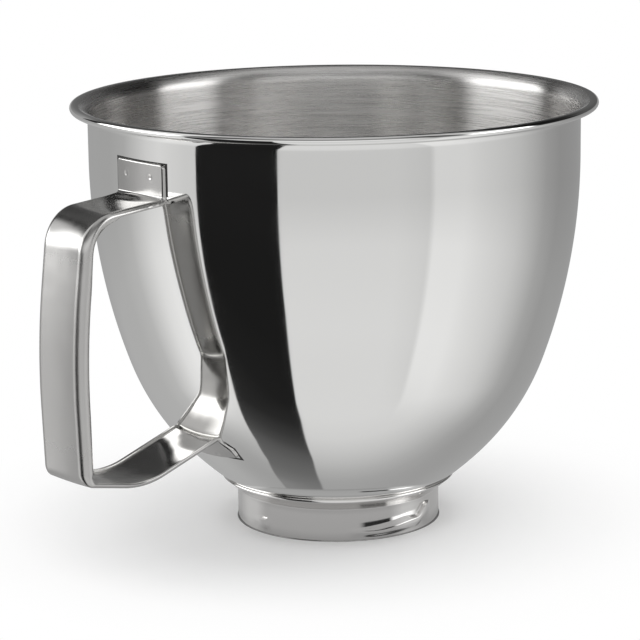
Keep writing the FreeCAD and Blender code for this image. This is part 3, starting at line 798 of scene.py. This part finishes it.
def build_foot_shade():
    """Painted shade and reflections for the steel: a glowing grey band round the foot, which only the
    steel reflects.
    """
    material, nodes = new_material("foot_shade")
    x, y, height = nodes.split(nodes.place())
    turn = nodes.turn(y, x)
    level = nodes.ramp(nodes.math("MULTIPLY_ADD", height, 25.0, 0.4), [
        (0.0, 0.20), (0.36, 0.22), (0.40, 0.34), (0.48, 0.42), (0.66, 0.44), (0.8, 0.30),
    ])
    # painted highlights: lighter patches at some directions round the band, which show on the ring's
    # wall
    lighter = nodes.ramp(turn, [
        (0.18, 1.0), (0.225, 1.0), (0.25, 1.5), (0.27, 1.5), (0.31, 1.05), (0.90, 1.0), (0.945, 1.4),
        (0.975, 1.4), (1.0, 1.0),
    ])
    # painted reflection: a dark and a white band on the shade, level with the turned-out ramps, which
    # show on them as a black and a white streak
    painted_streaks = nodes.ramp(turn, [
        (0.0, 1.0), (0.170, 1.0), (0.180, 0.05), (0.224, 0.05), (0.230, 2.6), (0.262, 3.0),
        (0.285, 1.0), (1.0, 1.0),
    ])
    middle = nodes.math("MULTIPLY_ADD", turn, 0.0137, 0.0036)
    off = nodes.math("SUBTRACT", height, middle)
    over, under = nodes.range(off, -0.0014, -0.0010), nodes.range(off, 0.0006, 0.0010, 1.0, 0.0)
    lighter = nodes.times(lighter, nodes.mix(nodes.times(over, under), 1.0, painted_streaks))
    # painted contact shadow: the band is darker right at the foot's edge
    contact_shadow = nodes.range(nodes.length(x, y), 0.0441, 0.0444, 0.15, 1.0)
    glow = nodes.add("ShaderNodeEmission", {"Color": level, "Strength": nodes.times(lighter, contact_shadow)})
    nodes.add("ShaderNodeOutputMaterial", {"Surface": glow.outputs[0]})
    flat, upright = [(43.6, 0.0), (46.4, 0.0)], [(46.4, -0.6), (46.4, 14.5)]
    for name, profile in (("shade_below", flat), ("shade_round", upright)):
        rows = [[(r * cosine(a), r * sine(a), z) for r, z in profile] for a in range(0, 360, 5)]
        shade = add_object(name, grid_mesh(name, rows, close_rows=True), material)
        shade.visible_camera = False
        shade.visible_diffuse = False
        shade.visible_shadow = False


# Brightness of the studio round the camera. Directions are in degrees, 0 toward the camera and
# positive to its right. LEVEL holds below the horizon: its values were picked from the
# photograph's brightness on the bowl, followed back to the direction that the steel reflects,
# and its left side was then changed by trial. OVERHEAD holds above the horizon and was set by
# trial beside the photograph.
LEVEL = [
    (-180, 0.42), (-148, 0.50), (-128, 0.52), (-114, 0.58), (-104, 0.76), (-97, 0.90), (-88, 1.00),
    (-72, 0.88), (-50, 0.86), (-28, 0.84), (28, 0.84), (40, 0.80), (44.0, 0.78), (46.5, 0.97),
    (62, 0.96), (72, 0.88), (84, 0.80), (94, 0.72), (104, 0.60), (115, 0.46), (128, 0.39),
    (150, 0.40), (180, 0.42),
]
OVERHEAD = [
    (-180, 0.12), (-150, 0.30), (-139, 0.40), (-136, 0.02), (-123, 0.02), (-120, 2.8), (-108, 3.6),
    (-76, 3.3), (-71, 1.6), (-67, 0.30), (-54, 0.25), (-42, 0.75), (-30, 0.95), (0, 1.08), (28, 1.00),
    (37, 0.75), (43, 0.25), (57, 0.20), (60, 1.4), (64, 2.6), (72, 3.0), (92, 2.6), (95, 0.3),
    (98, 0.02), (125, 0.02), (135, 0.08), (180, 0.12),
]
FLAG = (-65.4, -25.7)               # a black card stands between these directions
# The card's edges run on below the bowl, along lines through edge places followed back from the
# photograph. Each line is (slope, offset) on a plane one unit down: what lies left of all of an
# edge's lines is left of the edge.
CARD_RIGHT = [(0.489, -0.021), (0.436, -0.091), (0.314, -0.145), (0.173, -0.144)]
CARD_LEFT = [(2.30, -0.008), (1.37, -0.486), (1.11, -0.559), (0.717, -0.544), (0.384, -0.470)]


def build_world():
    world = bpy.data.worlds.new("studio")
    bpy.context.scene.world = world
    world.use_nodes = True
    nodes = Nodes(world.node_tree)
    ray = nodes.add("ShaderNodeTexCoord").outputs["Generated"]
    turned = nodes.add("ShaderNodeVectorRotate", {
        "Vector": ray, "Angle": math.radians(CAMERA_TURN),
    }, rotation_type="Z_AXIS").outputs[0]
    x, y, z = nodes.split(turned)
    toward = nodes.times(y, -1.0)
    share = nodes.turn(x, toward)

    def round_ramp(table):
        return nodes.ramp(share, [((degrees + 180) / 360, value) for degrees, value in table])

    def less(value, limit, soft):
        return nodes.range(nodes.math("SUBTRACT", value, limit), -soft, soft, 1.0, 0.0)

    # place where a ray meets a plane below the bowl: right of the axis, and toward the camera
    down = nodes.math("MAXIMUM", nodes.times(z, -1.0), 0.001)
    right = nodes.math("DIVIDE", x, down)
    near = nodes.math("DIVIDE", toward, down)
    near_share = nodes.math("MULTIPLY_ADD", near, 0.5, 0.5)

    # the levels of fall, beneath and black were picked from the photograph like LEVEL's
    fall = nodes.ramp(nodes.math("MULTIPLY_ADD", z, 0.5, 0.5), [
        (0.0, 0.95), (0.20, 1.0), (0.33, 0.96), (0.385, 0.86), (0.41, 0.82), (0.5, 0.82),
    ])
    walls = nodes.times(round_ramp(LEVEL), fall)
    beneath = nodes.ramp(near_share, [
        (0.0, 0.38), (0.15, 0.39), (0.275, 0.41), (0.35, 0.44), (0.425, 0.51), (0.475, 0.58),
        (0.55, 0.68), (0.635, 0.78), (0.75, 0.83), (0.87, 0.84),
    ])
    lower = nodes.mix(nodes.range(nodes.length(right, near), 0.5, 1.1), beneath, walls)

    def left_of(direction, lines):
        inside = less(share, (direction + 180) / 360, 0.0012)
        for slope, offset in lines:
            crossing = nodes.math("MULTIPLY_ADD", near, slope, right)
            inside = nodes.times(inside, less(crossing, offset, 0.008))
        return inside

    left_edge, right_edge = FLAG
    past_left = nodes.math("SUBTRACT", 1.0, left_of(left_edge, CARD_LEFT))
    card = nodes.times(left_of(right_edge, CARD_RIGHT), past_left)
    black = nodes.ramp(near_share, [
        (0.2, 0.28), (0.25, 0.26), (0.3, 0.21), (0.375, 0.17), (0.455, 0.14), (0.515, 0.108),
        (0.56, 0.072), (0.61, 0.048), (0.685, 0.026), (0.8, 0.016), (1.0, 0.013),
    ])
    lower = nodes.mix(card, lower, black)

    fading = nodes.range(z, 0.30, 0.52, 1.0, 0.27)
    upper = nodes.mix(nodes.range(z, 0.0, 0.08), 0.62, nodes.times(round_ramp(OVERHEAD), fading))
    upper = nodes.mix(nodes.range(z, 0.80, 0.95), upper, 0.6)
    glossy = nodes.mix(nodes.range(z, 0.0, 0.10), lower, upper)
    # only the steel's reflections see the studio, everything else sees white
    path = nodes.add("ShaderNodeLightPath").outputs
    strength = nodes.mix(path["Is Glossy Ray"], 1.0, glossy)
    light = nodes.add("ShaderNodeBackground", {"Color": (1, 1, 1, 1), "Strength": strength})
    nodes.add("ShaderNodeOutputWorld", {"Surface": light.outputs[0]})


def build_lamp():
    """A soft overhead panel, which only deepens the shadow on the floor."""
    data = bpy.data.lights.new("panel", "AREA")
    data.shape = "RECTANGLE"
    data.size, data.size_y = 1.2, 1.2
    data.energy = 4.0
    lamp = bpy.data.objects.new("panel", data)
    lamp.location = (0.5, -0.6, 1.8)
    aim = Vector((0, 0, 0.08)) - lamp.location
    lamp.rotation_euler = aim.to_track_quat("-Z", "Y").to_euler()
    lamp.visible_glossy = False
    lamp.visible_camera = False
    bpy.context.scene.collection.objects.link(lamp)


# Camera, fitted to the object's own lines in the photograph
CAMERA_PLACE = (-773.1, -875.6, 344.2)
CAMERA_DOWN = 12.48
CAMERA_ROLL = -0.716
FOCAL_PIXELS = 2794.76
FRAME_PIXELS = 640


def build_camera():
    data = bpy.data.cameras.new("camera")
    data.sensor_width = 36
    data.lens = FOCAL_PIXELS / FRAME_PIXELS * data.sensor_width
    camera = bpy.data.objects.new("camera", data)
    turn = Matrix.Rotation(math.radians(-CAMERA_TURN), 4, "Z")
    tilt = Matrix.Rotation(math.radians(90 - CAMERA_DOWN), 4, "X")
    roll = Matrix.Rotation(math.radians(CAMERA_ROLL), 4, "Z")
    camera.matrix_world = Matrix.Translation(Vector(CAMERA_PLACE) * MM) @ turn @ tilt @ roll
    bpy.context.scene.collection.objects.link(camera)
    bpy.context.scene.camera = camera


build_floor()
build_foot_shade()
build_world()
build_lamp()
build_camera()
bpy.context.scene.view_settings.view_transform = "Standard"
